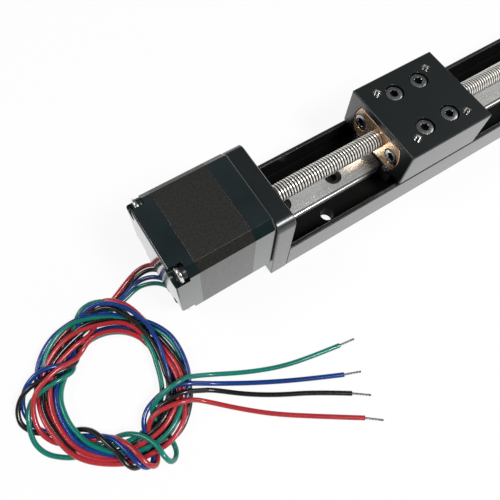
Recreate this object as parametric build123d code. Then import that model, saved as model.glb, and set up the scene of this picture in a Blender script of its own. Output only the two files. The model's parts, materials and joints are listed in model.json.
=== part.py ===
from build123d import *
import os
from math import cos, pi, radians, sin, sqrt, tan

# A compact motorised linear stage: a stepper motor turns a fine-pitch screw that drives a carriage
# along a miniature profile rail set in a shallow aluminium channel.
# Millimetres. +X runs along the screw away from the motor, +Z is up, and the origin is the centre
# of the four mounting holes on the underside of the base.

# Driving dimensions
baseLength = 155.0
baseWidth = 30.0
baseHeight = 12.7
baseWall = 1.45
baseEdge = 0.25
baseCorner = 0.4
baseInnerRound = 0.4
baseFloor = 5.0
railSeat = 3.55
mountInset = 20.0
mountHalfSpacing = 8.6
mountHoleRadius = 2.25

railWidth = 9.0
railHeight = 6.5
railPitch = 20.0
railEndDistance = 7.5
railBoreRadius = 2.9
railBoreDepth = 3.5
railHoleRadius = 1.75
railEdgeChamfer = 0.4
railScrewTip = 0.55
trackHeight = 3.7
trackInset = 0.1
ballRadius = 0.79
ballPlay = 0.04
ballPitch = 1.64

blockWidth = 20.0
blockHeight = 8.0
blockRise = 2.0
blockSteelLength = 18.9
blockCapLength = 4.4
blockSealLength = 0.6
blockChamfer = 0.8
blockRailGap = 0.22
blockTopGap = 0.3
blockHoleSpacingX = 10.0
blockHoleDepth = 3.0
blockScrewGrip = 2.8
capInset = 0.15
sealInset = 0.3
capScrewOffset = 7.4
capScrewDrop = 2.0
blockHoleSpacingY = 15.0

screwAxisHeight = 19.7
screwRadius = 3.0
screwRunningGap = 0.05
screwClearance = 0.75
shaftRadius = 2.5
endJournalRadius = 2.0

carriageLength = 32.0
carriageHeight = 14.2
carriageFromBracket = 58.25
tableHoleSpacing = 20.0
tableHoleRadius = 1.25
tableHoleDepth = 5.5
tableHoleSink = 0.25
carriageEdge = 0.3
tableBoreGap = 0.35
tableHeadDepth = 0.4

nutFlangeRadius = 11.0
nutFlangeHalfHeight = 5.7
nutFlangeThick = 4.3
nutFlangeEdge = 0.3
nutBarrelRadius = 5.0
nutLength = 15.0
nutScrewOffset = 7.7
nutScrewLength = 6.0
nutPocketGap = 0.1
nutEndGap = 0.2

bracketThick = 6.0
bracketHeight = 31.8
bracketRound = 3.0
plateEdge = 0.3
endBlockThick = 8.0
endBlockHeight = 27.8
endScrewHeight = 2.5
endScrewOffset = 10.0
endScrewLength = 12.0

motorWidth = 28.2
motorChamfer = 2.5
bellFrontRound = 0.8
bellRearRound = 0.6
frontBellLength = 6.9
stackLength = 17.1
rearBellLength = 7.0
motorScrewOffset = 11.5
pilotRadius = 11.0
pilotLength = 2.0
motorFaceScrewLength = 6.0
notchRadius = 3.1
notchDepth = 4.2
motorScrewHeadRadius = 2.4
motorScrewHeadHeight = 1.8
motorScrewGrip = 4.0
crossWidth = 0.5
crossDepth = 0.45
bearingStep = 1.0
rearWall = 1.5
endBearingStep = 1.5
endJournalInset = 0.3
bellCavityRadius = 12.2
bellCavityDepth = 4.4
statorBoreRadius = 7.5
rotorGap = 0.2
rotorEndGap = 0.4
magnetLength = 2.5
rotorTeeth = 50
rotorToothDepth = 0.45
poles = 8
poleWidth = 2.6
slotInnerRadius = 8.6
slotOuterRadius = 11.8
slotMouth = 1.0
windingThick = 1.4
windingOverhang = 1.9
windingGap = 0.05

bearingWidth = 4.0
motorBearingRadius = 5.5
endBearingRadius = 5.0
bearingRingWall = 0.75
bearingShield = 0.25
bearingBalls = 7
bearingPlay = 0.03
clipThick = 0.4
clipRadius = 3.4
clipGroove = 0.35

wireDiameter = 1.45
wireExitHeight = 4.6
outletWidth = 12.4
outletCentre = 1.2
outletDepth = 2.0
outletLength = 4.0
coilCentre = (-140.4, -17.2)
coilInnerRadius = 14.2
coilOuterRadius = 23.6
coilHeight = 4.4
coilEdge = 1.3
tipDiameter = 0.9

fitGap = 0.05
holeGap = 0.1
headSink = 0.1

screwSizes = {
    "M3": {"radius": 1.5, "headRadius": 2.75, "headHeight": 3.0, "socket": 2.5, "socketDepth": 1.5},
    "M2.5": {"radius": 1.25, "headRadius": 2.25, "headHeight": 2.5, "socket": 2.0, "socketDepth": 1.2},
    "M1.6": {"radius": 0.8, "headRadius": 1.4, "headHeight": 0.8, "socket": 0.9, "socketDepth": 0.5},
}

# The wires, each from the outlet to the coil and from the coil to its stripped end.
wireRoutes = {
    "red": {
        "lead": [(-114.0, 5.4, 4.6), (-118.7, 7.3, 3.2), (-123.9, 6.8, 1.5), (-128.1, 4.9, 0.8),
                 (-131.6, 2.9, 0.8)],
        "tail": [(-127.9, -34.0, 2.4), (-121.3, -38.2, 1.0), (-114.3, -45.0, 0.75), (-106.5, -51.8, 0.75),
                 (-95.5, -59.5, 0.75), (-85.2, -66.5, 0.75)],
        "tip": (-81.0, -69.9, 0.75),
    },
    "black": {
        "lead": [(-114.0, 3.2, 4.6), (-118.1, 5.1, 3.2), (-122.7, 4.9, 1.5), (-126.7, 3.3, 0.8),
                 (-130.3, 1.3, 0.8)],
        "tail": [(-124.9, -33.2, 2.4), (-118.1, -36.4, 1.0), (-110.9, -42.4, 0.75), (-102.8, -47.8, 0.75),
                 (-93.1, -53.0, 0.75), (-84.2, -59.0, 0.75)],
        "tip": (-79.7, -62.4, 0.75),
    },
    "blue": {
        "lead": [(-114.0, -0.2, 4.6), (-117.3, 2.2, 3.2), (-121.3, 3.0, 1.5), (-125.4, 1.7, 0.8),
                 (-129.1, -0.3, 0.8)],
        "tail": [(-123.9, -31.8, 2.4), (-116.4, -35.4, 1.0), (-108.3, -40.3, 0.75), (-100.1, -44.9, 0.75),
                 (-91.5, -49.3, 0.75), (-82.9, -53.4, 0.75)],
        "tip": (-78.1, -55.4, 0.75),
    },
    "green": {
        "lead": [(-114.0, -3.0, 4.6), (-116.4, 0.0, 3.2), (-120.1, 1.3, 1.5), (-124.1, 0.1, 0.8),
                 (-127.8, -1.9, 0.8)],
        "tail": [(-124.1, -29.6, 2.4), (-116.1, -32.5, 1.0), (-107.1, -37.4, 0.75), (-97.3, -41.6, 0.75),
                 (-87.5, -44.0, 0.75), (-78.8, -45.6, 0.75)],
        "tip": (-73.9, -46.4, 0.75),
    },
}

# Places worked out from them
baseEnd = baseLength / 2
railTop = railSeat + railHeight
blockTop = railSeat + blockRise + blockHeight
carriageCentre = carriageFromBracket - baseEnd
blockBottom = blockTop - blockHeight
trackZ = railSeat + trackHeight
trackY = railWidth / 2 + trackInset
carriageRear = carriageCentre - carriageLength / 2
carriageFront = carriageCentre + carriageLength / 2
carriageTop = blockTop + carriageHeight
bracketRear = -baseEnd - bracketThick
endBlockFront = baseEnd + endBlockThick
stackFront = bracketRear - frontBellLength
stackRear = stackFront - stackLength
motorRear = stackRear - rearBellLength
motorBottom = screwAxisHeight - motorWidth / 2
frontBearingX = stackFront + bellCavityDepth - bearingStep
rearBearingX = motorRear + rearWall
endBearingX = endBlockFront - endBearingStep - bearingWidth


# Helpers
def block(x0, x1, y0, y1, z0, z1):
    middle = Pos((x0 + x1) / 2, (y0 + y1) / 2, (z0 + z1) / 2)
    return middle * Box(x1 - x0, y1 - y0, z1 - z0)


def rodX(x0, x1, radius, y=0.0, z=screwAxisHeight):
    return Pos((x0 + x1) / 2, y, z) * Rot(0, 90, 0) * Cylinder(radius, x1 - x0)


def rodZ(z0, z1, radius, x, y):
    return Pos(x, y, (z0 + z1) / 2) * Cylinder(radius, z1 - z0)


def profileX(points, x0, x1):
    outline = Polyline(*[(0, y, z) for y, z in points], close=True)
    return Pos(x0, 0, 0) * extrude(make_face(outline), x1 - x0, dir=(1, 0, 0))


def capScrew(size, length):
    """A socket-head screw standing on z = 0, head up."""
    s = screwSizes[size]
    head = Cylinder(s["headRadius"], s["headHeight"], align=(Align.CENTER, Align.CENTER, Align.MIN))
    socket = extrude(RegularPolygon(s["socket"] / sqrt(3), 6), s["socketDepth"])
    shank = Cylinder(s["radius"], length, align=(Align.CENTER, Align.CENTER, Align.MAX))
    return head - Pos(0, 0, s["headHeight"] - s["socketDepth"]) * socket + shank


def facingRear(part, x, y, z):
    return Pos(x, y, z) * Rot(0, -90, 0) * part


def facingFront(part, x, y, z):
    return Pos(x, y, z) * Rot(0, 90, 0) * part


def save(name, *solids):
    flat = [s for shape in solids for s in shape.solids()]
    shape = flat[0] if len(flat) == 1 else Compound(flat)
    export_step(shape, f"parts/{name}.step")


def signs():
    return [(-1, -1), (-1, 1), (1, -1), (1, 1)]


# Base, rail and ends
def railHoleX():
    count = round((baseLength - 2 * railEndDistance) / railPitch) + 1
    first = -(count - 1) * railPitch / 2
    return [first + railPitch * i for i in range(count)]


def baseChannel():
    inner = baseWidth / 2 - baseWall
    seat = railWidth / 2 + fitGap
    shape = block(-baseEnd, baseEnd, -baseWidth / 2, baseWidth / 2, 0, baseHeight)
    shape -= block(-baseEnd, baseEnd, -inner, inner, baseFloor, baseHeight)
    levels = shape.edges().filter_by(Axis.X).group_by(Axis.Z)
    shape = chamfer(levels[-1], baseEdge)
    levels = shape.edges().filter_by(Axis.X).group_by(Axis.Z)
    shape = chamfer(levels[0], baseCorner)
    corners = [e for e in shape.edges().filter_by(Axis.X) if abs(e.center().Z - baseFloor) < fitGap]
    shape = fillet(corners, baseInnerRound)
    shape -= block(-baseEnd, baseEnd, -seat, seat, railSeat, baseFloor)
    for sx, sy in signs():
        shape -= rodZ(0, baseFloor, mountHoleRadius, sx * (baseEnd - mountInset), sy * mountHalfSpacing)
    for x in railHoleX():
        shape -= rodZ(0, railSeat, screwSizes["M3"]["radius"], x, 0)
    reach = endScrewLength
    for sx, sy in signs():
        end = sx * baseEnd
        x0, x1 = sorted((end, end - sx * reach))
        shape -= rodX(x0, x1, screwSizes["M2.5"]["radius"], sy * endScrewOffset, endScrewHeight)
    return shape


def guideRail():
    half = railWidth / 2
    c = railEdgeChamfer
    points = [(-half, railSeat), (half, railSeat), (half, railTop - c), (half - c, railTop),
              (c - half, railTop), (-half, railTop - c)]
    shape = profileX(points, -baseEnd, baseEnd)
    for side in (-1, 1):
        shape -= rodX(-baseEnd, baseEnd, ballRadius + ballPlay, side * trackY, trackZ)
    for x in railHoleX():
        shape -= rodZ(railSeat, railTop, railHoleRadius, x, 0)
        shape -= rodZ(railTop - railBoreDepth, railTop, railBoreRadius, x, 0)
    return shape


def railScrews():
    seat = railTop - railBoreDepth
    screw = capScrew("M3", seat - railScrewTip)
    return [Pos(x, 0, seat) * screw for x in railHoleX()]


def endScrewCuts(x0, x1, headX0, headX1):
    cuts = []
    for side in (-1, 1):
        size = screwSizes["M2.5"]
        cuts.append(rodX(x0, x1, size["radius"] + holeGap, side * endScrewOffset, endScrewHeight))
        cuts.append(rodX(headX0, headX1, size["headRadius"] + holeGap, side * endScrewOffset, endScrewHeight))
    return cuts


def roundedPlate(x0, x1, height):
    shape = block(x0, x1, -baseWidth / 2, baseWidth / 2, 0, height)
    shape = fillet(shape.edges().filter_by(Axis.X).group_by(Axis.Z)[-1], bracketRound)
    rims = [edge for face in shape.faces().filter_by(Axis.X) for edge in face.edges()]
    return chamfer(rims, plateEdge)


def motorBracket():
    front = -baseEnd
    shape = roundedPlate(bracketRear, front, bracketHeight)
    shape -= rodX(bracketRear, bracketRear + pilotLength + fitGap, pilotRadius + fitGap)
    shape -= rodX(bracketRear, front, screwRadius + screwClearance)
    headDepth = screwSizes["M2.5"]["headHeight"] + headSink
    for cut in endScrewCuts(bracketRear, front, bracketRear, bracketRear + headDepth):
        shape -= cut
    for side in (-1, 1):
        y, z = side * motorScrewOffset, screwAxisHeight - motorScrewOffset
        shape -= rodX(bracketRear, front, screwSizes["M2.5"]["radius"] + holeGap, y, z)
        shape -= rodX(front - headDepth, front, screwSizes["M2.5"]["headRadius"] + holeGap, y, z)
    return shape


def bracketScrews():
    seat = bracketRear + screwSizes["M2.5"]["headHeight"] + headSink
    screw = capScrew("M2.5", endScrewLength)
    return [facingRear(screw, seat, side * endScrewOffset, endScrewHeight) for side in (-1, 1)]


def motorMountScrews():
    seat = -baseEnd - screwSizes["M2.5"]["headHeight"] - headSink
    screw = capScrew("M2.5", motorFaceScrewLength)
    z = screwAxisHeight - motorScrewOffset
    return [facingFront(screw, seat, side * motorScrewOffset, z) for side in (-1, 1)]


def endBlock():
    shape = roundedPlate(baseEnd, endBlockFront, endBlockHeight)
    shape -= rodX(baseEnd, endBlockFront, screwRadius + screwClearance)
    shape -= rodX(endBearingX, endBlockFront, endBearingRadius)
    headDepth = screwSizes["M2.5"]["headHeight"] + headSink
    for cut in endScrewCuts(baseEnd, endBlockFront, endBlockFront - headDepth, endBlockFront):
        shape -= cut
    return shape


def endBlockScrews():
    seat = endBlockFront - screwSizes["M2.5"]["headHeight"] - headSink
    screw = capScrew("M2.5", endScrewLength)
    return [facingFront(screw, seat, side * endScrewOffset, endScrewHeight) for side in (-1, 1)]


# Bearings
def bearingOuter(x, outerRadius, innerRadius):
    ring = rodX(x, x + bearingWidth, outerRadius)
    ring -= rodX(x, x + bearingWidth, outerRadius - bearingRingWall)
    lip = innerRadius + bearingRingWall + bearingPlay
    for start in (x, x + bearingWidth - bearingShield):
        shield = rodX(start, start + bearingShield, outerRadius - bearingRingWall)
        ring += shield - rodX(start, start + bearingShield, lip)
    return ring


def bearingInner(x, innerRadius):
    ring = rodX(x, x + bearingWidth, innerRadius + bearingRingWall)
    return ring - rodX(x, x + bearingWidth, innerRadius)


def bearingBallSet(x, outerRadius, innerRadius):
    inner = innerRadius + bearingRingWall
    outer = outerRadius - bearingRingWall
    centre = (inner + outer) / 2
    radius = (outer - inner) / 2 - bearingPlay
    balls = []
    for i in range(bearingBalls):
        angle = 2 * pi * i / bearingBalls
        place = Pos(x + bearingWidth / 2, centre * cos(angle), screwAxisHeight + centre * sin(angle))
        balls.append(place * Sphere(radius))
    return balls


# Motor
def motorBody(x0, x1):
    half = motorWidth / 2
    shape = block(x0, x1, -half, half, screwAxisHeight - half, screwAxisHeight + half)
    return chamfer(shape.edges().filter_by(Axis.X), motorChamfer)


def rimAt(shape, x):
    """The outline edges of the end face at x."""
    face = min(shape.faces().filter_by(Axis.X), key=lambda f: abs(f.center().X - x))
    return face.edges()


def motorScrewHoles(x0, x1, radius):
    holes = []
    for sy, sz in signs():
        holes.append(rodX(x0, x1, radius, sy * motorScrewOffset, screwAxisHeight + sz * motorScrewOffset))
    return holes


def frontBell():
    shape = motorBody(stackFront, bracketRear)
    shape = fillet(rimAt(shape, bracketRear), bellFrontRound)
    shape += rodX(bracketRear, bracketRear + pilotLength, pilotRadius)
    shape -= rodX(stackFront, stackFront + bellCavityDepth, bellCavityRadius)
    shape -= rodX(stackFront, frontBearingX + bearingWidth, motorBearingRadius)
    shape -= rodX(stackFront, bracketRear + pilotLength, screwRadius + screwClearance)
    for hole in motorScrewHoles(stackFront, bracketRear, screwSizes["M2.5"]["radius"]):
        shape -= hole
    return shape


def rearBell():
    shape = motorBody(motorRear, stackRear)
    shape = fillet(rimAt(shape, motorRear), bellRearRound)
    shape -= rodX(stackRear - bellCavityDepth, stackRear, bellCavityRadius)
    shape -= rodX(rearBearingX, stackRear, motorBearingRadius)
    for hole in motorScrewHoles(motorRear, stackRear, screwSizes["M2.5"]["radius"] + holeGap):
        shape -= hole
    for notch in motorScrewHoles(motorRear, motorRear + notchDepth, notchRadius):
        shape -= notch
    return shape


def poleAngles():
    return [360 / poles * i for i in range(poles)]


def aroundAxis(angle):
    return Pos(0, 0, screwAxisHeight) * Rot(angle, 0, 0)


def statorStack():
    shape = motorBody(stackRear, stackFront)
    shape -= rodX(stackRear, stackFront, statorBoreRadius)
    slots = rodX(stackRear, stackFront, slotOuterRadius) - rodX(stackRear, stackFront, slotInnerRadius)
    for angle in poleAngles():
        bar = block(stackRear, stackFront, -poleWidth / 2, poleWidth / 2, 0, slotOuterRadius)
        slots -= aroundAxis(angle) * bar
    shape -= slots
    for angle in poleAngles():
        reach = slotInnerRadius + slotMouth / 2
        mouth = block(stackRear, stackFront, -slotMouth / 2, slotMouth / 2, 0, reach)
        shape -= aroundAxis(angle + 180 / poles) * mouth
    for hole in motorScrewHoles(stackRear, stackFront, screwSizes["M2.5"]["radius"] + holeGap):
        shape -= hole
    return shape


def statorWindings():
    half = poleWidth / 2 + windingThick
    inner = slotInnerRadius + windingGap
    outer = sqrt((slotOuterRadius - windingGap) ** 2 - half ** 2)
    core = poleWidth / 2 + windingGap
    coil = block(stackRear - windingOverhang, stackFront + windingOverhang, -half, half, inner, outer)
    coil -= block(stackRear - windingGap, stackFront + windingGap, -core, core, inner, outer)
    return [aroundAxis(angle) * coil for angle in poleAngles()]


def panScrew(length):
    """A domed cross-recess screw standing on z = 0, head up."""
    radius, height = motorScrewHeadRadius, motorScrewHeadHeight
    head = Cylinder(radius, height, align=(Align.CENTER, Align.CENTER, Align.MIN))
    head = fillet(head.edges().group_by(Axis.Z)[-1], height * 0.6)
    recess = Box(radius, crossWidth, 2 * crossDepth) + Box(crossWidth, radius, 2 * crossDepth)
    shank = Cylinder(screwSizes["M2.5"]["radius"], length, align=(Align.CENTER, Align.CENTER, Align.MAX))
    return head - Pos(0, 0, height) * recess + shank


def motorScrews():
    seat = motorRear + notchDepth
    screw = panScrew(stackFront + motorScrewGrip - seat)
    placed = []
    for sy, sz in signs():
        y, z = sy * motorScrewOffset, screwAxisHeight + sz * motorScrewOffset
        placed.append(facingRear(screw, seat, y, z))
    return placed


def rotorCore(x0, x1):
    """One toothed half of the hybrid rotor."""
    radius = statorBoreRadius - rotorGap
    shape = rodX(x0, x1, radius) - rodX(x0, x1, shaftRadius)
    width = pi * radius / rotorTeeth
    slot = block(x0, x1, -width / 2, width / 2, radius - rotorToothDepth, radius + rotorToothDepth)
    slots = [aroundAxis(360 / rotorTeeth * i) * slot for i in range(rotorTeeth)]
    return shape - slots


def rotorParts():
    x0, x1 = stackRear + rotorEndGap, stackFront - rotorEndGap
    middle = (x0 + x1) / 2
    split0, split1 = middle - magnetLength / 2, middle + magnetLength / 2
    magnetRadius = statorBoreRadius - rotorGap - rotorToothDepth
    magnet = rodX(split0, split1, magnetRadius) - rodX(split0, split1, shaftRadius)
    return rotorCore(x0, split0), magnet, rotorCore(split1, x1)


def leadScrew():
    """One shaft: plain inside the motor, screwed along the stage, and a journal in the end block."""
    threadStart = frontBearingX + bearingWidth
    shape = rodX(rearBearingX, threadStart, shaftRadius)
    shape += rodX(threadStart, endBearingX, screwRadius)
    shape += rodX(endBearingX, endBlockFront - endJournalInset, endJournalRadius)
    clipX = endBearingX + bearingWidth
    groove = rodX(clipX, clipX + clipThick, endJournalRadius)
    groove -= rodX(clipX, clipX + clipThick, endJournalRadius - clipGroove)
    return shape - groove


def retainingClip():
    x = endBearingX + bearingWidth
    neck = endJournalRadius - clipGroove
    ring = rodX(x, x + clipThick, clipRadius) - rodX(x, x + clipThick, neck)
    return ring - block(x, x + clipThick, -neck, neck, screwAxisHeight - clipRadius, screwAxisHeight)


def wireOutlet():
    half = outletWidth / 2
    return block(motorRear, motorRear + outletLength, outletCentre - half, outletCentre + half,
                 motorBottom - outletDepth, motorBottom)


# Carriage
def blockOutline(inset):
    half = blockWidth / 2 - inset
    top = blockTop - inset
    bottom = blockBottom + inset
    gap = railWidth / 2 + blockRailGap
    roof = railTop + blockTopGap
    c = blockChamfer
    return [(-half, bottom + c), (-half + c, bottom), (-gap, bottom), (-gap, roof),
            (gap, roof), (gap, bottom), (half - c, bottom), (half, bottom + c),
            (half, top - c), (half - c, top), (c - half, top), (-half, top - c)]


def guideBlock():
    half = blockSteelLength / 2
    shape = profileX(blockOutline(0), carriageCentre - half, carriageCentre + half)
    for side in (-1, 1):
        shape -= rodX(carriageCentre - half, carriageCentre + half, ballRadius + ballPlay,
                      side * trackY, trackZ)
    for sx, sy in signs():
        x, y = carriageCentre + sx * blockHoleSpacingX / 2, sy * blockHoleSpacingY / 2
        shape -= rodZ(blockTop - blockHoleDepth, blockTop, screwSizes["M3"]["radius"], x, y)
    return shape


def capScrewPlaces():
    return [(side * capScrewOffset, blockTop - capScrewDrop) for side in (-1, 1)]


def guideEndPieces(start, length, inset, holeRadius):
    pieces = []
    for side in (-1, 1):
        x0, x1 = sorted((carriageCentre + side * start, carriageCentre + side * (start + length)))
        shape = profileX(blockOutline(inset), x0, x1)
        for y, z in capScrewPlaces():
            shape -= rodX(x0, x1, holeRadius, y, z)
        pieces.append(shape)
    return pieces


def guideEndCaps():
    return guideEndPieces(blockSteelLength / 2, blockCapLength, capInset, screwSizes["M1.6"]["radius"])


def guideEndSeals():
    start = blockSteelLength / 2 + blockCapLength
    return guideEndPieces(start, blockSealLength, sealInset, screwSizes["M1.6"]["radius"])


def endCapScrews():
    reach = blockSteelLength / 2 + blockCapLength + blockSealLength
    screw = capScrew("M1.6", blockCapLength + blockSealLength)
    placed = []
    for y, z in capScrewPlaces():
        placed.append(facingRear(screw, carriageCentre - reach, y, z))
        placed.append(facingFront(screw, carriageCentre + reach, y, z))
    return placed


def guideBalls():
    count = int(blockSteelLength / ballPitch)
    first = carriageCentre - (count - 1) * ballPitch / 2
    balls = []
    for side in (-1, 1):
        for i in range(count):
            balls.append(Pos(first + i * ballPitch, side * trackY, trackZ) * Sphere(ballRadius))
    return balls


def nutOutline(x0, x1, gap):
    half = nutFlangeHalfHeight + gap
    wide = 2 * nutFlangeRadius
    disc = rodX(x0, x1, nutFlangeRadius + gap)
    band = block(x0, x1, -wide, wide, screwAxisHeight - half, screwAxisHeight + half)
    return disc & band


def nutPocket():
    x1 = carriageRear + nutFlangeThick
    half = nutFlangeHalfHeight + nutPocketGap
    radius = nutFlangeRadius + nutPocketGap
    reach = sqrt(radius ** 2 - half ** 2)
    pocket = nutOutline(carriageRear, x1, nutPocketGap)
    return pocket + block(carriageRear, x1, -reach, reach, blockTop, screwAxisHeight)


def carriageScrewPlaces():
    return [(carriageCentre + sx * blockHoleSpacingX / 2, sy * blockHoleSpacingY / 2) for sx, sy in signs()]


def carriagePlate():
    m3 = screwSizes["M3"]
    shape = block(carriageRear, carriageFront, -baseWidth / 2, baseWidth / 2, blockTop, carriageTop)
    shape = chamfer(shape.edges(), carriageEdge)
    shape -= nutPocket()
    shape -= rodX(carriageRear, carriageRear + nutLength + nutEndGap, nutBarrelRadius + nutPocketGap)
    shape -= rodX(carriageRear, carriageFront, screwRadius + screwClearance)
    for x, y in carriageScrewPlaces():
        shape -= rodZ(blockTop, carriageTop, m3["radius"] + holeGap, x, y)
        seat = carriageTop - m3["headHeight"] - tableHeadDepth
        shape -= rodZ(seat, carriageTop, m3["headRadius"] + tableBoreGap, x, y)
    for sx, sy in signs():
        x, y = carriageCentre + sx * tableHoleSpacing / 2, sy * tableHoleSpacing / 2
        shape -= rodZ(carriageTop - tableHoleDepth, carriageTop, tableHoleRadius, x, y)
        sink = Cone(tableHoleRadius, tableHoleRadius + tableHoleSink, tableHoleSink)
        shape -= Pos(x, y, carriageTop - tableHoleSink / 2) * sink
    for side in (-1, 1):
        x1 = carriageRear + m3["headHeight"] + nutScrewLength
        shape -= rodX(carriageRear, x1, m3["radius"], side * nutScrewOffset)
    return shape


def carriageScrews():
    seat = carriageTop - screwSizes["M3"]["headHeight"] - tableHeadDepth
    screw = capScrew("M3", seat - blockTop + blockScrewGrip)
    return [Pos(x, y, seat) * screw for x, y in carriageScrewPlaces()]


def leadNut():
    m3 = screwSizes["M3"]
    shape = nutOutline(carriageRear, carriageRear + nutFlangeThick, 0)
    shape = chamfer(rimAt(shape, carriageRear), nutFlangeEdge)
    shape += rodX(carriageRear, carriageRear + nutLength, nutBarrelRadius)
    shape -= rodX(carriageRear, carriageRear + nutLength, screwRadius + screwRunningGap)
    for side in (-1, 1):
        y = side * nutScrewOffset
        shape -= rodX(carriageRear, carriageRear + nutFlangeThick, m3["radius"] + holeGap, y)
        shape -= rodX(carriageRear, carriageRear + m3["headHeight"], m3["headRadius"] + holeGap, y)
    return shape


def nutScrews():
    seat = carriageRear + screwSizes["M3"]["headHeight"]
    screw = capScrew("M3", nutScrewLength)
    return [facingRear(screw, seat, side * nutScrewOffset, screwAxisHeight) for side in (-1, 1)]


# Wires
def cornerRadii(points):
    radii = []
    for before, corner, after in zip(points, points[1:], points[2:]):
        into, out = Vector(*corner) - Vector(*before), Vector(*after) - Vector(*corner)
        half = radians(into.get_angle(out)) / 2
        radii.append(0.45 * min(into.length, out.length) / tan(half))
    return radii


def wireTube(name, points):
    radii = cornerRadii(points)
    print(name, "corner radii", [round(r, 1) for r in radii])
    path = FilletPolyline(*points, radius=radii)
    section = Plane(origin=path @ 0, z_dir=path % 0) * Circle(wireDiameter / 2)
    tube = sweep(section, path=path)
    ideal = pi * wireDiameter ** 2 / 4 * path.length
    print(name, "length", round(path.length, 1), "volume share", round(tube.volume / ideal, 4))
    return tube


def wireCoil():
    middle = (coilInnerRadius + coilOuterRadius) / 2
    section = Pos(middle, 0, 0) * Rectangle(coilOuterRadius - coilInnerRadius, coilHeight)
    section = chamfer(section.vertices(), coilEdge)
    ring = revolve(Plane.XZ * section, Axis.Z)
    return Pos(coilCentre[0], coilCentre[1], coilHeight / 2) * ring


def wireTip(start, end):
    axis = Vector(*end) - Vector(*start)
    disc = Plane(origin=start, z_dir=axis) * Circle(tipDiameter / 2)
    return extrude(disc, axis.length)


def main():
    os.makedirs("parts", exist_ok=True)
    save("base_channel", baseChannel())
    save("guide_rail", guideRail())
    save("rail_screws", *railScrews())
    save("motor_bracket", motorBracket())
    save("bracket_screws", *bracketScrews())
    save("motor_mount_screws", *motorMountScrews())
    save("end_block", endBlock())
    save("end_block_screws", *endBlockScrews())
    save("motor_front_bell", frontBell())
    save("stator_stack", statorStack())
    save("stator_windings", *statorWindings())
    save("motor_rear_bell", rearBell())
    save("motor_screws", *motorScrews())
    save("wire_outlet", wireOutlet())
    rearCore, magnet, frontCore = rotorParts()
    save("rotor_rear_core", rearCore)
    save("rotor_magnet", magnet)
    save("rotor_front_core", frontCore)
    save("lead_screw", leadScrew())
    save("retaining_clip", retainingClip())
    bearings = {
        "motor_front_bearing": (frontBearingX, motorBearingRadius, shaftRadius),
        "motor_rear_bearing": (rearBearingX, motorBearingRadius, shaftRadius),
        "end_bearing": (endBearingX, endBearingRadius, endJournalRadius),
    }
    for name, (x, outerRadius, innerRadius) in bearings.items():
        save(name + "_outer", bearingOuter(x, outerRadius, innerRadius))
        save(name + "_inner", bearingInner(x, innerRadius))
        save(name + "_balls", *bearingBallSet(x, outerRadius, innerRadius))
    save("carriage_plate", carriagePlate())
    save("carriage_screws", *carriageScrews())
    save("guide_block", guideBlock())
    save("guide_end_caps", *guideEndCaps())
    save("guide_end_seals", *guideEndSeals())
    save("end_cap_screws", *endCapScrews())
    save("guide_balls", *guideBalls())
    save("lead_nut", leadNut())
    save("nut_screws", *nutScrews())
    save("wire_coil", wireCoil())
    for colour, route in wireRoutes.items():
        save("lead_" + colour, wireTube("lead_" + colour, route["lead"]))
        save("tail_" + colour, wireTube("tail_" + colour, route["tail"]))
        save("tip_" + colour, wireTip(route["tail"][-1], route["tip"]))


main()
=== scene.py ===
import json
from math import cos, pi, radians, sin

import bpy
from mathutils import Matrix, Vector


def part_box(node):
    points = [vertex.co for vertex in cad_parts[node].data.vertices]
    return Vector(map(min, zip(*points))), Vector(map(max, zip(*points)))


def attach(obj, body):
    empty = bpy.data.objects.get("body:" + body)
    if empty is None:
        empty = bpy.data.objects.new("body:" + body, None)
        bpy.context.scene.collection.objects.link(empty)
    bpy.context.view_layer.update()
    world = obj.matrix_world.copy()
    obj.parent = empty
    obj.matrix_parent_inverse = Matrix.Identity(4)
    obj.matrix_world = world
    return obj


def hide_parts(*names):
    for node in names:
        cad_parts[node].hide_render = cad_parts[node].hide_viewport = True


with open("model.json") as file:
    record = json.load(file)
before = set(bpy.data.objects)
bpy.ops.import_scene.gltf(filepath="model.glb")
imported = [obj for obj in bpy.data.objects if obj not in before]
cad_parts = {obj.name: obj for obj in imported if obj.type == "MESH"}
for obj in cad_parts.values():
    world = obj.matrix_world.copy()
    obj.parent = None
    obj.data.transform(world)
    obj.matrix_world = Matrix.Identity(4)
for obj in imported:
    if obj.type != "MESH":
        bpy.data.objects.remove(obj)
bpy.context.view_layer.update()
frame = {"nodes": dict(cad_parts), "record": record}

nodes = frame["nodes"]
mm = 0.001
weld = 1e-6  # points closer than this many metres are one point
print("frame loaded,", len(nodes), "nodes")


# Selecting and finishing

def deselectAll():
    bpy.ops.object.select_all(action="DESELECT")


def selectOnly(piece):
    deselectAll()
    piece.select_set(True)
    bpy.context.view_layer.objects.active = piece


def applyPlace(piece):
    selectOnly(piece)
    bpy.ops.object.transform_apply(location=True, rotation=True, scale=True)


def finishModifier(piece, modifier):
    selectOnly(piece)
    bpy.ops.object.modifier_apply(modifier=modifier.name)


def smoothByAngle(piece, degrees=35):
    selectOnly(piece)
    bpy.ops.object.shade_smooth_by_angle(angle=radians(degrees))


def sweepTurns(piece, axis, rise, turns, steps):
    sweep = piece.modifiers.new("turns", "SCREW")
    sweep.axis = axis
    sweep.angle = 2 * pi
    sweep.screw_offset = rise
    sweep.iterations = turns
    sweep.steps = steps
    sweep.render_steps = steps
    finishModifier(piece, sweep)


def closeEnds(sides):
    bpy.ops.object.mode_set(mode="EDIT")
    bpy.ops.mesh.select_mode(type="VERT")
    bpy.ops.mesh.select_all(action="SELECT")
    bpy.ops.mesh.remove_doubles(threshold=weld)
    bpy.ops.mesh.fill_holes(sides=sides)
    bpy.ops.mesh.select_all(action="SELECT")
    bpy.ops.mesh.normals_make_consistent(inside=False)
    bpy.ops.object.mode_set(mode="OBJECT")


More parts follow.
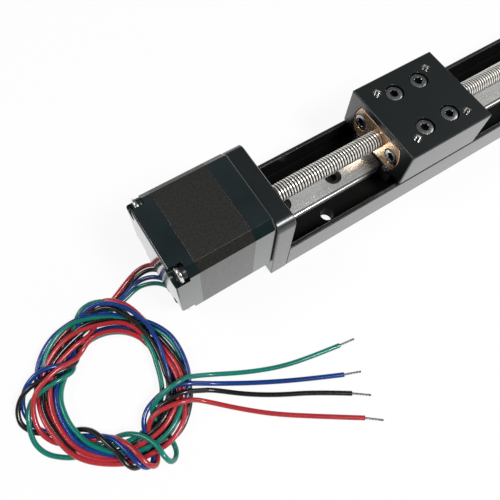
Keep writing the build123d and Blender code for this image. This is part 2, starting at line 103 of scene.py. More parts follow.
def joinPieces(name, pieces):
    deselectAll()
    for piece in pieces:
        piece.select_set(True)
    bpy.context.view_layer.objects.active = pieces[0]
    if len(pieces) > 1:
        bpy.ops.object.join()
    joined = bpy.context.view_layer.objects.active
    joined.name = name
    return joined


def setMaterial(piece, material):
    if len(piece.data.materials):
        piece.data.materials[0] = material
    else:
        piece.data.materials.append(material)


deselectAll()


# Camera, floor and light

cameraSettings = {
    "place": (-0.1260, -0.05845, 0.15479),
    "right": (0.84188972, -0.53839709, 0.03674615),
    "up": (0.48126009, 0.77986252, 0.40025388),
    "back": (-0.24415247, -0.31928517, 0.91566727),
    "lens": 37.16,
    "sensor": 36.0,
    "near": 0.005,
}


def makeCamera(s):
    bpy.ops.object.camera_add()
    camera = bpy.context.object
    camera.name = "camera"
    camera.data.lens = s["lens"]
    camera.data.sensor_width = s["sensor"]
    camera.data.clip_start = s["near"]
    turn = Matrix((s["right"], s["up"], s["back"])).transposed()
    camera.matrix_world = Matrix.Translation(s["place"]) @ turn.to_4x4()
    bpy.context.scene.camera = camera


lightSettings = {
    "ceiling": 0.125,
    "aim": (-0.06, -0.01, 0.015),
    "reach": 0.90,
    "lamps": [
        {"name": "keyLamp", "towards": (0.22, -0.50, 0.84), "size": 0.24, "power": 6.2},
        {"name": "leftLamp", "towards": (-0.52, 0.30, 0.80), "size": 0.26, "power": 2.2},
        {"name": "rightLamp", "towards": (0.78, -0.20, 0.55), "size": 0.40, "power": 1.2},
    ],
}


def makeLights(s):
    aim = Vector(s["aim"])
    for lamp in s["lamps"]:
        away = Vector(lamp["towards"]).normalized()
        bpy.ops.object.light_add(type="AREA", location=aim + away * s["reach"])
        light = bpy.context.object
        light.name = lamp["name"]
        light.data.shape = "SQUARE"
        light.data.size = lamp["size"]
        light.data.energy = lamp["power"]
        light.rotation_euler = away.to_track_quat("Z", "Y").to_euler()


def makeCeiling(s):
    world = bpy.data.worlds.new("studio")
    bpy.context.scene.world = world
    world.use_nodes = True
    light = world.node_tree.nodes["Background"]
    light.inputs["Color"].default_value = (1, 1, 1, 1)
    light.inputs["Strength"].default_value = s["ceiling"]


sweepSettings = {"radius": 6.0, "height": 1.4, "sides": 96, "paper": 0.92, "white": 0.91}


def addMath(tree, operation, *values):
    node = tree.nodes.new("ShaderNodeMath")
    node.operation = operation
    for number, value in enumerate(values):
        if isinstance(value, (int, float)):
            node.inputs[number].default_value = value
        else:
            tree.links.new(value, node.inputs[number])
    return node.outputs[0]


def whitePaper(s):
    # The eye and mirrors see it nearly white, and it takes shadows like paper
    material = bpy.data.materials.new("whitePaper")
    material.use_nodes = True
    tree = material.node_tree
    tree.nodes.clear()
    output = tree.nodes.new("ShaderNodeOutputMaterial")
    paper = tree.nodes.new("ShaderNodeBsdfDiffuse")
    paper.inputs["Color"].default_value = (s["paper"], s["paper"], s["paper"], 1)
    glow = tree.nodes.new("ShaderNodeEmission")
    glow.inputs["Strength"].default_value = 1.0
    ray = tree.nodes.new("ShaderNodeLightPath").outputs
    mirrored = addMath(tree, "MAXIMUM", ray["Is Glossy Ray"], ray["Is Transmission Ray"])
    seen = addMath(tree, "MAXIMUM", ray["Is Camera Ray"], mirrored)
    mix = tree.nodes.new("ShaderNodeMixShader")
    tree.links.new(addMath(tree, "MULTIPLY", seen, s["white"]), mix.inputs["Fac"])
    tree.links.new(paper.outputs[0], mix.inputs[1])
    tree.links.new(glow.outputs[0], mix.inputs[2])
    tree.links.new(mix.outputs[0], output.inputs["Surface"])
    return material


def makeSweep(s):
    paper = whitePaper(s)
    bpy.ops.mesh.primitive_circle_add(vertices=s["sides"], radius=s["radius"], fill_type="NGON")
    floor = bpy.context.object
    floor.name = "floor"
    bpy.ops.mesh.primitive_cylinder_add(
        vertices=s["sides"], radius=s["radius"], depth=s["height"], end_fill_type="NOTHING",
        location=(0, 0, s["height"] / 2))
    wall = bpy.context.object
    wall.name = "backdrop"
    for sheet in (floor, wall):
        setMaterial(sheet, paper)


makeCamera(cameraSettings)
makeLights(lightSettings)
makeCeiling(lightSettings)
makeSweep(sweepSettings)
bpy.context.scene.view_settings.view_transform = "Standard"
print("camera, lights and floor ready")


# Materials

noiseSpan = (0.3, 0.7)  # nearly all noise lies between these
broadDetail = 3.0
fineDetail = 4.0
bandLength = 2 * pi / 20  # of a wave texture at scale 1
plainSpecular = 0.5


def startMaterial(name, settings):
    material = bpy.data.materials.new(name)
    material.use_nodes = True
    tree = material.node_tree
    shader = tree.nodes["Principled BSDF"]
    for socket, value in settings.items():
        shader.inputs[socket].default_value = value
    place = tree.nodes.new("ShaderNodeTexCoord")
    return material, tree, shader, place.outputs["Object"]


def addNoise(tree, place, scale, detail=broadDetail, stretch=(1, 1, 1)):
    mapping = tree.nodes.new("ShaderNodeMapping")
    mapping.inputs["Scale"].default_value = stretch
    noise = tree.nodes.new("ShaderNodeTexNoise")
    noise.inputs["Scale"].default_value = scale
    noise.inputs["Detail"].default_value = detail
    tree.links.new(place, mapping.inputs["Vector"])
    tree.links.new(mapping.outputs["Vector"], noise.inputs["Vector"])
    return noise.outputs["Fac"]


def addRange(tree, value, low, high):
    spread = tree.nodes.new("ShaderNodeMapRange")
    spread.inputs["From Min"].default_value = noiseSpan[0]
    spread.inputs["From Max"].default_value = noiseSpan[1]
    spread.inputs["To Min"].default_value = low
    spread.inputs["To Max"].default_value = high
    tree.links.new(value, spread.inputs["Value"])
    return spread.outputs["Result"]


def addTints(tree, value, dark, light):
    ramp = tree.nodes.new("ShaderNodeValToRGB")
    for stop, position, tint in zip(ramp.color_ramp.elements, noiseSpan, (dark, light)):
        stop.position = position
        stop.color = (*tint, 1)
    tree.links.new(value, ramp.inputs["Fac"])
    return ramp.outputs["Color"]


def addBump(tree, shader, height, distance, strength):
    bump = tree.nodes.new("ShaderNodeBump")
    bump.inputs["Distance"].default_value = distance
    bump.inputs["Strength"].default_value = strength
    tree.links.new(height, bump.inputs["Height"])
    tree.links.new(bump.outputs["Normal"], shader.inputs["Normal"])


def addAxes(tree, place):
    apart = tree.nodes.new("ShaderNodeSeparateXYZ")
    tree.links.new(place, apart.inputs[0])
    return apart.outputs


def changeBeyond(tree, shader, measure, start, end, values):
    for socket, value in values.items():
        spread = tree.nodes.new("ShaderNodeMapRange")
        spread.inputs["From Min"].default_value = start
        spread.inputs["From Max"].default_value = end
        spread.inputs["To Min"].default_value = shader.inputs[socket].default_value
        spread.inputs["To Max"].default_value = value
        tree.links.new(measure, spread.inputs["Value"])
        tree.links.new(spread.outputs["Result"], shader.inputs[socket])


def channelFinish(s, inside):
    # Inside its walls the channel is matt
    start = {**s["shader"], **inside["shader"]}
    material, tree, shader, place = startMaterial("black_channel", start)
    mottle(tree, shader, place, s)
    across = addMath(tree, "ABSOLUTE", addAxes(tree, place)["Y"])
    outside = {"Coat Weight": s["shader"]["Coat Weight"], "Specular IOR Level": plainSpecular}
    changeBeyond(tree, shader, across, inside["halfWidth"], inside["wall"], outside)
    return material


def mattCorners(tree, shader, place, s):
    # The motor's cut corners are matt
    axes = addAxes(tree, place)
    rise = addMath(tree, "ABSOLUTE", addMath(tree, "SUBTRACT", axes["Z"], s["axisHeight"]))
    across = addMath(tree, "ABSOLUTE", axes["Y"])
    reach = addMath(tree, "ADD", rise, across)
    changeBeyond(tree, shader, reach, s["flat"], s["corner"], s["shader"])


def mottledFinish(name, s):
    material, tree, shader, place = startMaterial(name, s["shader"])
    mottle(tree, shader, place, s)
    if "corners" in s:
        mattCorners(tree, shader, place, s["corners"])
    return material


def mottle(tree, shader, place, s):
    broad = addNoise(tree, place, s["patchScale"])
    fine = addNoise(tree, place, s["grainScale"], fineDetail, s.get("stretch", (1, 1, 1)))
    tree.links.new(addTints(tree, broad, s["dark"], s["light"]), shader.inputs["Base Color"])
    tree.links.new(addRange(tree, fine, *s["roughness"]), shader.inputs["Roughness"])
    addBump(tree, shader, fine, s["bump"], s["bumpStrength"])


motorCorners = {
    "axisHeight": 0.0197, "flat": 0.02566, "corner": 0.02569,
    "shader": {"Coat Weight": 0.0, "Specular IOR Level": 0.12},
}
finishes = {
    "black_anodised": {
        "shader": {"Metallic": 0.0, "IOR": 1.5, "Coat Weight": 1.0, "Coat Roughness": 0.26},
        "dark": (0.0015, 0.0042, 0.0050), "light": (0.0040, 0.0072, 0.0080),
        "patchScale": 60, "grainScale": 3500, "roughness": (0.30, 0.42),
        "bump": 0.000008, "bumpStrength": 0.2,
    },
    "black_casting": {
        "shader": {"Metallic": 0.0, "IOR": 1.5, "Coat Weight": 0.8, "Coat Roughness": 0.12},
        "dark": (0.0042, 0.0100, 0.0110), "light": (0.0110, 0.0200, 0.0215),
        "patchScale": 70, "grainScale": 1200, "roughness": (0.16, 0.26),
        "bump": 0.000012, "bumpStrength": 0.15, "corners": motorCorners,
    },
    "ground_steel": {
        "shader": {"Metallic": 0.62},
        "dark": (0.82, 0.83, 0.81), "light": (0.95, 0.96, 0.94),
        "patchScale": 90, "grainScale": 900, "stretch": (0.03, 1, 1), "roughness": (0.20, 0.34),
        "bump": 0.000006, "bumpStrength": 0.3,
    },
    "bright_steel": {
        "shader": {"Metallic": 1.0},
        "dark": (0.66, 0.65, 0.62), "light": (0.80, 0.79, 0.77),
        "patchScale": 160, "grainScale": 1600, "roughness": (0.14, 0.26),
        "bump": 0.000005, "bumpStrength": 0.3,
    },
    "bearing_steel": {
        "shader": {"Metallic": 1.0},
        "dark": (0.52, 0.52, 0.52), "light": (0.62, 0.62, 0.62),
        "patchScale": 200, "grainScale": 1500, "roughness": (0.15, 0.28),
        "bump": 0.000005, "bumpStrength": 0.3,
    },
    "ball_steel": {
        "shader": {"Metallic": 1.0},
        "dark": (0.70, 0.70, 0.70), "light": (0.78, 0.78, 0.78),
        "patchScale": 200, "grainScale": 900, "roughness": (0.05, 0.10),
        "bump": 0.000002, "bumpStrength": 0.1,
    },
    "black_screw": {
        "shader": {"Metallic": 0.3, "IOR": 1.5},
        "dark": (0.010, 0.010, 0.011), "light": (0.022, 0.022, 0.024),
        "patchScale": 400, "grainScale": 2500, "roughness": (0.30, 0.45),
        "bump": 0.00001, "bumpStrength": 0.3,
    },
    # Painted shade: a dark matt material standing in for the shade inside screw sockets
    "socket_painted_shade": {
        "shader": {"Metallic": 0.0, "IOR": 1.5, "Specular IOR Level": 0.3},
        "dark": (0.004, 0.004, 0.004), "light": (0.010, 0.010, 0.010),
        "patchScale": 500, "grainScale": 2500, "roughness": (0.35, 0.50),
        "bump": 0.00001, "bumpStrength": 0.3,
    },
    "zinc_screw": {
        "shader": {"Metallic": 1.0},
        "dark": (0.72, 0.72, 0.70), "light": (0.84, 0.84, 0.82),
        "patchScale": 500, "grainScale": 2200, "roughness": (0.14, 0.28),
        "bump": 0.000008, "bumpStrength": 0.3,
    },
    "bright_screw": {
        "shader": {"Metallic": 1.0},
        "dark": (0.40, 0.41, 0.42), "light": (0.60, 0.61, 0.62),
        "patchScale": 500, "grainScale": 2400, "roughness": (0.20, 0.30),
        "bump": 0.00001, "bumpStrength": 0.4,
    },
    "bronze": {
        "shader": {"Metallic": 0.78},
        "dark": (0.58, 0.34, 0.19), "light": (0.90, 0.66, 0.44),
        "patchScale": 240, "grainScale": 1500, "roughness": (0.16, 0.28),
        "bump": 0.00001, "bumpStrength": 0.4,
    },
    "copper_winding": {
        "shader": {"Metallic": 1.0},
        "dark": (0.45, 0.18, 0.07), "light": (0.62, 0.28, 0.12),
        "patchScale": 300, "grainScale": 2500, "roughness": (0.25, 0.35),
        "bump": 0.00002, "bumpStrength": 0.4,
    },
    "magnet": {
        "shader": {"Metallic": 0.7},
        "dark": (0.10, 0.10, 0.10), "light": (0.16, 0.16, 0.16),
        "patchScale": 300, "grainScale": 2500, "roughness": (0.4, 0.5),
        "bump": 0.00001, "bumpStrength": 0.3,
    },
    "black_plastic": {
        "shader": {"Metallic": 0.0, "IOR": 1.5},
        "dark": (0.010, 0.010, 0.011), "light": (0.018, 0.018, 0.019),
        "patchScale": 150, "grainScale": 2600, "roughness": (0.38, 0.50),
        "bump": 0.00002, "bumpStrength": 0.35,
    },
    "seal_rubber": {
        "shader": {"Metallic": 0.0, "IOR": 1.45},
        "dark": (0.012, 0.012, 0.012), "light": (0.020, 0.020, 0.020),
        "patchScale": 200, "grainScale": 2000, "roughness": (0.55, 0.70),
        "bump": 0.00002, "bumpStrength": 0.3,
    },
    "tinned_copper": {
        "shader": {"Metallic": 1.0},
        "dark": (0.22, 0.21, 0.20), "light": (0.38, 0.37, 0.36),
        "patchScale": 700, "grainScale": 3000, "roughness": (0.30, 0.42),
        "bump": 0.00001, "bumpStrength": 0.4,
    },
}
wireColours = {
    "red": {"dark": (0.40, 0.018, 0.026), "light": (0.50, 0.030, 0.040)},
    "black": {"dark": (0.004, 0.004, 0.005), "light": (0.008, 0.007, 0.007)},
    "blue": {"dark": (0.001, 0.030, 0.18), "light": (0.002, 0.042, 0.25)},
    "green": {"dark": (0.000, 0.160, 0.115), "light": (0.001, 0.215, 0.160)},
}
wireSheath = {
    "shader": {"Metallic": 0.0, "IOR": 1.5, "Coat Weight": 0.3, "Coat Roughness": 0.08},
    "patchScale": 120, "grainScale": 1400, "roughness": (0.20, 0.30),
    "bump": 0.00001, "bumpStrength": 0.2,
}
stackFinish = {
    "pitch": 0.0005, "layerShare": 0.12, "grainScale": 1600,
    "shader": {"Metallic": 0.0, "IOR": 1.5, "Coat Weight": 0.5, "Coat Roughness": 0.22},
    "dark": (0.012, 0.0125, 0.0105), "light": (0.020, 0.0205, 0.0175),
    "roughness": (0.30, 0.42), "bump": 0.000012, "bumpStrength": 0.3, "corners": motorCorners,
}


def laminatedFinish(s):
    material, tree, shader, place = startMaterial("laminated_steel", s["shader"])
    layers = tree.nodes.new("ShaderNodeTexWave")
    layers.wave_type = "BANDS"
    layers.bands_direction = "X"
    layers.inputs["Scale"].default_value = bandLength / s["pitch"]
    layers.inputs["Distortion"].default_value = 0.0
    tree.links.new(place, layers.inputs["Vector"])
    grain = addNoise(tree, place, s["grainScale"], fineDetail)
    both = addMath(tree, "MULTIPLY_ADD", layers.outputs["Fac"], s["layerShare"], grain)
    tree.links.new(addTints(tree, both, s["dark"], s["light"]), shader.inputs["Base Color"])
    tree.links.new(addRange(tree, grain, *s["roughness"]), shader.inputs["Roughness"])
    addBump(tree, shader, layers.outputs["Fac"], s["bump"], s["bumpStrength"])
    mattCorners(tree, shader, place, s["corners"])
    return material


threadShadeSettings = {
    "shader": {"Metallic": 0.5},
    "axisHeight": 0.0197, "rootRadius": 0.00268, "crestRadius": 0.00293,
    # The root colour is painted shade in the groove; the crest colour is a painted highlight
    "rootPaintedShade": (0.020, 0.017, 0.013), "crestPaintedHighlight": (0.95, 0.92, 0.86),
    "grainScale": 1600, "roughness": (0.18, 0.30),
}


def paintedThreadShade(s):
    # Painted shade in the thread's root and a painted highlight on its crest, blended by radius
    material, tree, shader, place = startMaterial("threaded_steel", s["shader"])
    axes = addAxes(tree, place)
    across = tree.nodes.new("ShaderNodeCombineXYZ")
    tree.links.new(axes["Y"], across.inputs["Y"])
    tree.links.new(addMath(tree, "SUBTRACT", axes["Z"], s["axisHeight"]), across.inputs["Z"])
    radius = tree.nodes.new("ShaderNodeVectorMath")
    radius.operation = "LENGTH"
    tree.links.new(across.outputs[0], radius.inputs[0])
    height = tree.nodes.new("ShaderNodeMapRange")
    height.inputs["From Min"].default_value = s["rootRadius"]
    height.inputs["From Max"].default_value = s["crestRadius"]
    tree.links.new(radius.outputs["Value"], height.inputs["Value"])
    blend = tree.nodes.new("ShaderNodeMix")
    blend.data_type = "RGBA"
    blend.inputs["A"].default_value = (*s["rootPaintedShade"], 1)
    blend.inputs["B"].default_value = (*s["crestPaintedHighlight"], 1)
    tree.links.new(height.outputs["Result"], blend.inputs["Factor"])
    tree.links.new(blend.outputs["Result"], shader.inputs["Base Color"])
    grain = addNoise(tree, place, s["grainScale"], fineDetail)
    tree.links.new(addRange(tree, grain, *s["roughness"]), shader.inputs["Roughness"])
    return material


materials = {name: mottledFinish(name, s) for name, s in finishes.items()}
for colour, tints in wireColours.items():
    materials["wire_" + colour] = mottledFinish("wire_" + colour, {**wireSheath, **tints})
materials["laminated_steel"] = laminatedFinish(stackFinish)
materials["threaded_steel"] = paintedThreadShade(threadShadeSettings)
channelInside = {
    "halfWidth": 0.01354, "wall": 0.01358,
    "shader": {"Coat Weight": 0.0, "Specular IOR Level": 0.02},
}
channelTints = {"dark": (0.0058, 0.0056, 0.0056), "light": (0.0098, 0.0096, 0.0094)}
materials["black_channel"] = channelFinish(
    {**finishes["black_anodised"], **channelTints}, channelInside)
slotOf = {part["node"]: part["material_slot"] for part in frame["record"]["subparts"]}
for name, node in nodes.items():
    setMaterial(node, materials[slotOf[name]])
print("materials ready")


# Broken edges on the rigid parts

members = frame["record"]["behaviour"]["bodies"]
bodyOf = {node: body for body, held in members.items() for node in held}


def stand(piece, name):
    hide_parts(name)
    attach(piece, bodyOf[name])
    setMaterial(piece, materials[slotOf[name]])
    return piece


def copyOfNode(name, newName):
    selectOnly(nodes[name])
    bpy.ops.object.duplicate()
    piece = bpy.context.object
    piece.name = newName
    for key in list(piece.keys()):
        if key.startswith("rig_"):
            del piece[key]
    piece.parent = None
    piece.matrix_world = Matrix.Identity(4)
    return piece


edgeBreaks = {
    "base_channel": 0.16, "motor_bracket": 0.16, "end_block": 0.16, "carriage_plate": 0.12,
    "motor_front_bell": 0.30, "motor_rear_bell": 0.30, "stator_stack": 0.12, "guide_rail": 0.10,
    "lead_nut": 0.12, "guide_block": 0.12, "guide_end_caps": 0.15, "wire_outlet": 0.40,
    "end_cap_screws": 0.08,
}
edgeWork = {"flatAngle": 0.5, "cornerAngle": 32, "steps": 2, "weight": 100}


def breakEdges(name, width, s):
    piece = copyOfNode(name, name + "_finished")
    bpy.ops.object.mode_set(mode="EDIT")
    bpy.ops.mesh.select_all(action="SELECT")
    bpy.ops.mesh.remove_doubles(threshold=weld)
    bpy.ops.mesh.dissolve_limited(angle_limit=radians(s["flatAngle"]))
    bpy.ops.object.mode_set(mode="OBJECT")
    bevel = piece.modifiers.new("brokenEdge", "BEVEL")
    bevel.width = width * mm
    bevel.segments = s["steps"]
    bevel.limit_method = "ANGLE"
    bevel.angle_limit = radians(s["cornerAngle"])
    finishModifier(piece, bevel)
    smoothByAngle(piece)
    flatten = piece.modifiers.new("flatFaces", "WEIGHTED_NORMAL")
    flatten.keep_sharp = True
    flatten.weight = s["weight"]
    finishModifier(piece, flatten)
    stand(piece, name)


for name, width in edgeBreaks.items():
    breakEdges(name, width, edgeWork)
setMaterial(bpy.data.objects["base_channel_finished"], materials["black_channel"])
print("edges broken on", len(edgeBreaks), "parts")


# Lead screw with its rolled thread

screwSettings = {
    "pitch": 1.0, "crest": 3.0, "root": 2.35, "axisHeight": 19.7, "steps": 28,
    "threadStart": -83.0, "threadEnd": 80.0, "shaft": 2.5, "journal": 2.0,
    # Where one tooth rises and falls, as shares of the pitch, and how its crest is rounded
    "rise": (0.14, 0.36, 0.44), "fall": (0.74, 0.82), "crestDrop": 0.05,
    "spareTurns": 2, "weld": 2e-6, "smooth": 30,
}


def cylinderAlongX(x0, x1, radius, height, sides=48):
    bpy.ops.mesh.primitive_cylinder_add(
        vertices=sides, radius=radius * mm, depth=(x1 - x0) * mm,
        location=((x0 + x1) / 2 * mm, 0, height * mm), rotation=(0, pi / 2, 0))
    piece = bpy.context.object
    applyPlace(piece)
    return piece


def threadedBar(s):
    pitch = s["pitch"]
    turns = round((s["threadEnd"] - s["threadStart"]) / pitch) + s["spareTurns"]
    root, crest, shoulder = s["root"], s["crest"], s["crest"] - s["crestDrop"]
    foot, rising, risen = s["rise"]
    falling, fallen = s["fall"]
    profile = [
        (0, root), (foot * pitch, root), (rising * pitch, shoulder), (risen * pitch, crest),
        (falling * pitch, crest), (fallen * pitch, shoulder), (pitch, root),
    ]
    start = s["threadStart"] - pitch
    bpy.ops.mesh.primitive_plane_add(size=mm)
    bar = bpy.context.object
    bpy.ops.object.mode_set(mode="EDIT")
    bpy.ops.mesh.merge(type="CENTER")
    bpy.ops.transform.translate(value=(start * mm, 0, root * mm))
    for (x0, r0), (x1, r1) in zip(profile, profile[1:]):
        step = ((x1 - x0) * mm, 0, (r1 - r0) * mm)
        bpy.ops.mesh.extrude_region_move(TRANSFORM_OT_translate={"value": step})
    bpy.ops.object.mode_set(mode="OBJECT")
    sweepTurns(bar, "X", pitch * mm, turns, s["steps"])
    bpy.ops.object.mode_set(mode="EDIT")
    bpy.ops.mesh.select_all(action="SELECT")
    bpy.ops.mesh.remove_doubles(threshold=s["weld"])
    for x, clearOuter in ((s["threadStart"], False), (s["threadEnd"], True)):
        bpy.ops.mesh.select_all(action="SELECT")
        bpy.ops.mesh.bisect(
            plane_co=(x * mm, 0, 0), plane_no=(1, 0, 0), use_fill=True,
            clear_inner=not clearOuter, clear_outer=clearOuter)
    bpy.ops.mesh.select_all(action="SELECT")
    bpy.ops.mesh.normals_make_consistent(inside=False)
    bpy.ops.object.mode_set(mode="OBJECT")
    bar.location = (0, 0, s["axisHeight"] * mm)
    applyPlace(bar)
    return bar


def makeLeadScrew(s):
    low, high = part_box("lead_screw")
    bar = threadedBar(s)
    rear = cylinderAlongX(low.x / mm, s["threadStart"], s["shaft"], s["axisHeight"])
    front = cylinderAlongX(s["threadEnd"], high.x / mm, s["journal"], s["axisHeight"])
    screw = joinPieces("lead_screw_threaded", [bar, rear, front])
    smoothByAngle(screw, s["smooth"])
    stand(screw, "lead_screw")
    setMaterial(screw, materials["threaded_steel"])


makeLeadScrew(screwSettings)
print("lead screw threaded")


# Screws, each kind modelled once and copied

capScrewSizes = {
    "M3": {"shank": 1.5, "head": 2.75, "height": 3.0, "socket": 2.5, "depth": 2.0, "flutes": 36},
    "M2.5": {"shank": 1.25, "head": 2.25, "height": 2.5, "socket": 2.0, "depth": 1.4, "flutes": 32},
}
capScrewShape = {
    "topEdge": 0.34, "topSteps": 2, "fluteEdge": 0.05, "fluteDepth": 0.09, "leadIn": 0.22,
    "leadInLift": 0.02, "tipEdge": 0.4, "sides": 24, "smooth": 28, "twist": 0.7, "slack": 0.1,
}
# Which screws, how long, which way the heads face, and where they seat
capScrewSets = {
    "carriage_screws": (
        "M3", 13.6, "up", [(x, y, 24.35) for x in (-24.25, -14.25) for y in (-7.5, 7.5)]),
    "nut_screws": ("M3", 6.0, "rear", [(-32.25, y, 19.7) for y in (-7.7, 7.7)]),
    "rail_screws": ("M3", 6.0, "up", [(x, 0, 6.55) for x in range(-70, 71, 20)]),
    "bracket_screws": ("M2.5", 12.0, "rear", [(-80.9, y, 2.5) for y in (-10, 10)]),
    "motor_mount_screws": ("M2.5", 6.0, "front", [(-80.1, y, 8.2) for y in (-11.5, 11.5)]),
    "end_block_screws": ("M2.5", 12.0, "front", [(82.9, y, 2.5) for y in (-10, 10)]),
}
facing = {"up": 0, "front": pi / 2, "rear": -pi / 2}
endFace = 0.9  # a face whose normal's share along the screw is more than this is an end
sideFace = 0.1  # and one with less than this is a side
overlap = 0.1  # of the head and shank of one screw
beyond = 1  # how far a cutter stands out of what it cuts


def cylinderAlongZ(z0, z1, radius, sides):
    bpy.ops.mesh.primitive_cylinder_add(
        vertices=sides, radius=radius * mm, depth=(z1 - z0) * mm,
        location=(0, 0, (z0 + z1) / 2 * mm))
    piece = bpy.context.object
    applyPlace(piece)
    return piece


def editFaces(piece, wanted):
    bpy.ops.object.mode_set(mode="EDIT")
    bpy.ops.mesh.select_mode(type="FACE")
    bpy.ops.mesh.select_all(action="DESELECT")
    bpy.ops.object.mode_set(mode="OBJECT")
    for face in piece.data.polygons:
        face.select = wanted(face)
    bpy.ops.object.mode_set(mode="EDIT")


def bevelChosen(width, steps):
    bpy.ops.mesh.bevel(offset=width * mm, segments=steps, affect="EDGES")
    bpy.ops.object.mode_set(mode="OBJECT")


def carve(piece, cutter):
    cut = piece.modifiers.new("cut", "BOOLEAN")
    cut.operation = "DIFFERENCE"
    cut.object = cutter
    finishModifier(piece, cut)
    selectOnly(cutter)
    bpy.ops.object.delete()
    selectOnly(piece)


def makeCapScrew(size, length, s):
    sizes = capScrewSizes[size]
    top = sizes["height"]
    head = cylinderAlongZ(0, top, sizes["head"], sizes["flutes"])
    editFaces(head, lambda face: face.normal.z > endFace)
    bevelChosen(s["topEdge"], s["topSteps"])
    editFaces(head, lambda face: abs(face.normal.z) < sideFace)
    bpy.ops.mesh.inset(
        thickness=s["fluteEdge"] * mm, depth=-s["fluteDepth"] * mm, use_individual=True)
    bpy.ops.object.mode_set(mode="OBJECT")
    corner = sizes["socket"] / 3 ** 0.5
    carve(head, cylinderAlongZ(top - sizes["depth"], top + beyond, corner, 6))
    bpy.ops.mesh.primitive_cone_add(
        vertices=s["sides"], radius1=(corner - s["leadIn"]) * mm,
        radius2=(corner + s["leadIn"]) * mm, depth=2 * s["leadIn"] * mm,
        location=(0, 0, (top + s["leadInLift"]) * mm))
    leadIn = bpy.context.object
    applyPlace(leadIn)
    carve(head, leadIn)
    shank = cylinderAlongZ(-length, overlap, sizes["shank"], s["sides"])
    editFaces(shank, lambda face: face.normal.z < -endFace)
    bevelChosen(s["tipEdge"], 1)
    screw = joinPieces("capScrew", [head, shank])
    smoothByAngle(screw, s["smooth"])
    # The socket's faces get painted shade, a dark matt material, whatever the head's finish
    screw.data.materials.append(materials["bright_screw"])
    screw.data.materials.append(materials["socket_painted_shade"])
    for face in screw.data.polygons:
        x, y, z = face.center / mm
        inSocket = top - sizes["depth"] - s["slack"] < z < top - s["leadIn"]
        face.material_index = int(inSocket and x * x + y * y < corner * corner)
    return screw


def placeCopies(name, model, places, turn, twist):
    copies = []
    for number, place in enumerate(places):
        selectOnly(model)
        bpy.ops.object.duplicate()
        piece = bpy.context.object
        spot = Matrix.Translation([c * mm for c in place])
        spin = Matrix.Rotation(twist * number, 4, "Z")
        piece.matrix_world = spot @ Matrix.Rotation(turn, 4, "Y") @ spin
        applyPlace(piece)
        copies.append(piece)
    selectOnly(model)
    bpy.ops.object.delete()
    return joinPieces(name, copies)


for name, (size, length, way, places) in capScrewSets.items():
    model = makeCapScrew(size, length, capScrewShape)
    twist = capScrewShape["twist"]
    stand(placeCopies(name + "_detailed", model, places, facing[way], twist), name)

panScrewShape = {
    "head": 2.45, "thick": 0.9, "edge": 0.42, "edgeSteps": 4, "headSides": 40,
    "recess": 1.5, "recessWidth": 0.55, "recessDepth": 0.45,
    "shank": 1.25, "length": 23.9, "shankSides": 20,
    "washer": 1.95, "washerThick": 1.6, "washerSides": 32, "washerEdge": 0.12,
    "washerEdgeSteps": 2, "washerGap": 0.02, "hole": 1.30, "holeSides": 24,
    "places": [(-110.3, y, z) for y in (-11.5, 11.5) for z in (8.2, 31.2)], "twist": 0.5,
    "smooth": 30,
}


def makePanScrew(s):
    top = s["washerThick"] + s["thick"]
    head = cylinderAlongZ(s["washerThick"], top, s["head"], s["headSides"])
    editFaces(head, lambda face: face.normal.z > endFace)
    bevelChosen(s["edge"], s["edgeSteps"])
    for turn in (0, pi / 2):
        bpy.ops.mesh.primitive_cube_add(
            size=mm, scale=(2 * s["recess"], s["recessWidth"], 2 * s["recessDepth"]),
            location=(0, 0, top * mm), rotation=(0, 0, turn))
        slot = bpy.context.object
        applyPlace(slot)
        carve(head, slot)
    shankTop = s["washerThick"] + overlap
    shank = cylinderAlongZ(-s["length"], shankTop, s["shank"], s["shankSides"])
    screw = joinPieces("panScrew", [head, shank])
    smoothByAngle(screw, s["smooth"])
    return screw


def makeWasher(s):
    thick = s["washerThick"]
    washer = cylinderAlongZ(0, thick - s["washerGap"], s["washer"], s["washerSides"])
    carve(washer, cylinderAlongZ(-beyond, thick + beyond, s["hole"], s["holeSides"]))
    editFaces(washer, lambda face: abs(face.normal.z) > endFace)
    bevelChosen(s["washerEdge"], s["washerEdgeSteps"])
    smoothByAngle(washer, s["smooth"])
    return washer


for name, make in (("motor_screws_detailed", makePanScrew), ("motor_washers", makeWasher)):
    places, twist = panScrewShape["places"], panScrewShape["twist"]
    copies = placeCopies(name, make(panScrewShape), places, facing["rear"], twist)
    stand(copies, "motor_screws")
washers = bpy.data.objects["motor_washers"]
setMaterial(washers, materials["black_screw"])

# Threads in the carriage's tapped holes
tappedShape = {
    "radius": 1.20, "ridge": 0.17, "sides": 3, "pitch": 0.5, "turns": 10, "steps": 24, "smooth": 30,
    "places": [(x, y, 27.65) for x in (-29.25, -9.25) for y in (-10, 10)],
}


def makeTappedThread(s):
    bpy.ops.mesh.primitive_circle_add(
        vertices=s["sides"], radius=s["ridge"] * mm, fill_type="NGON",
        location=(s["radius"] * mm, 0, 0), rotation=(pi / 2, 0, 0))
    ridge = bpy.context.object
    applyPlace(ridge)
    sweepTurns(ridge, "Z", -s["pitch"] * mm, s["turns"], s["steps"])
    closeEnds(s["sides"])
    return ridge


tapped = placeCopies("tapped_threads", makeTappedThread(tappedShape), tappedShape["places"], 0, 0)
smoothByAngle(tapped, tappedShape["smooth"])
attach(tapped, "carriage")
setMaterial(tapped, materials["bright_steel"])
print("screws and tapped holes made")


# The four wires

wireSettings = {
    "diameter": 1.45, "coilCentre": (-140.4, -17.2), "step": 11.0, "resolution": 6, "roundness": 3,
}
